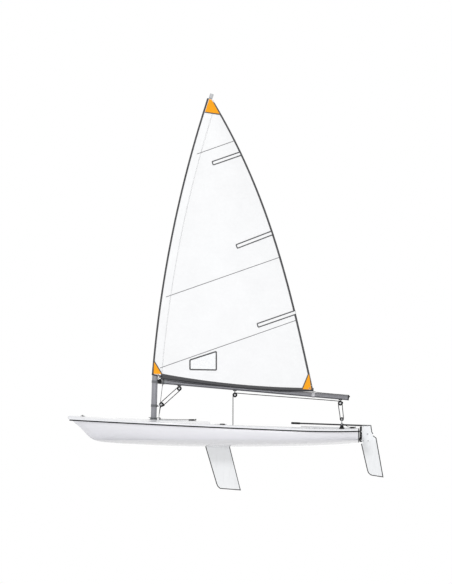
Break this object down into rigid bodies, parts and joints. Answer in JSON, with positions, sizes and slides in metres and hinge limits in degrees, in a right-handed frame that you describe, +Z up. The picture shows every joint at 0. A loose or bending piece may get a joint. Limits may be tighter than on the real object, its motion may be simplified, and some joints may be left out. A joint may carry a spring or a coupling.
{
  "type": "sailing dinghy",
  "caption": "Open-cockpit sailing dinghy, whole hull set at its waterline, with an unstayed mast, sleeved mainsail, boom, daggerboard and lifting rudder.",
  "frame": {"origin": "on the centreline at the waterline, halfway along the waterline", "axes": "+X forward to the bow, +Y to port, +Z up along the mast"},
  "size_m": [4.548, 1.3822, 5.7194],
  "materials": {
    "hull_gelcoat": "glossy moulded gelcoat",
    "deck_gelcoat": "gelcoat, gloss on the edges and fine non-skid on the flats",
    "foil_gelcoat": "smooth satin foil coating",
    "sailcloth": "woven polyester sailcloth",
    "spar_aluminium": "satin anodised tube",
    "dark_aluminium": "dark anodised tube",
    "rudder_alloy": "white painted plate",
    "stainless": "brushed stainless steel",
    "black_trim": "black moulded rubber and plastic",
    "black_fittings": "moulded black rigging plastic",
    "grey_plastic": "moulded grey plastic bearing",
    "pale_plastic": "pale moulded plastic",
    "orange_cloth": "orange reinforcing sailcloth",
    "grey_tape": "grey woven edge tape",
    "window_film": "clear flexible window film",
    "rope": "braided rope",
    "webbing": "woven webbing",
    "grip_rubber": "ribbed rubber"
  },
  "bodies": {
    "hull": {"hull_shell": "hull_gelcoat", "deck": "deck_gelcoat", "cockpit_liner": "deck_gelcoat", "gunwale_strip": "black_trim", "daggerboard_trunk": "deck_gelcoat", "trunk_cap": "black_trim", "mast_step": "grey_plastic", "mast_collar": "grey_plastic", "self_bailer": "stainless", "drain_plug": "black_trim", "bow_eye": "black_fittings", "control_cleats": "black_fittings", "mast_base_blocks": "black_fittings", "mainsheet_cleat_port": "black_fittings", "mainsheet_cleat_starboard": "black_fittings", "traveller_cleat": "black_fittings", "cockpit_block": "black_fittings", "grab_rail_port": "spar_aluminium", "grab_rail_starboard": "spar_aluminium", "hiking_strap": "webbing", "traveller_stand_port": "black_fittings", "traveller_stand_starboard": "black_fittings", "traveller_block": "black_fittings", "upper_gudgeon": "black_fittings", "lower_gudgeon": "black_fittings"},
    "rig": {"lower_mast": "spar_aluminium", "upper_mast": "spar_aluminium", "mast_top_plug": "pale_plastic", "luff_sleeve": "sailcloth", "sail": "sailcloth", "gooseneck": "black_fittings", "boom": "spar_aluminium", "boom_front_cap": "grey_plastic", "boom_aft_cap": "black_trim", "clew_slide": "stainless", "vang_bracket": "black_fittings", "vang_mast_block": "black_fittings", "vang_boom_block": "black_fittings", "mid_boom_block": "black_fittings", "aft_boom_block": "black_fittings"},
    "daggerboard": {"daggerboard": "foil_gelcoat", "daggerboard_handle": "black_trim"},
    "rudder": {"rudder_head": "rudder_alloy", "pintle_bar": "black_fittings", "tiller": "dark_aluminium", "tiller_grip": "grip_rubber", "blade_bolt": "stainless"},
    "rudder_blade": {"rudder_blade": "foil_gelcoat"}
  },
  "joints": [
    {"name": "mast_turn", "type": "hinge", "parent": "hull", "child": "rig", "pos_m": [1.049, 0, 0.317], "axis": [-0.0314, 0, 0.9995], "range_deg": [-90, 90]},
    {"name": "board_lift", "type": "slide", "parent": "hull", "child": "daggerboard", "axis": [0.2414, 0, 0.9704], "range_m": [0, 0.3]},
    {"name": "rudder_steer", "type": "hinge", "parent": "hull", "child": "rudder", "pos_m": [-1.932, 0, 0.06], "axis": [0, 0, 1], "range_deg": [-45, 45]},
    {"name": "blade_lift", "type": "hinge", "parent": "rudder", "child": "rudder_blade", "pos_m": [-2.028, 0, 0.085], "axis": [0, 1, 0], "range_deg": [0, 88]}
  ]
}
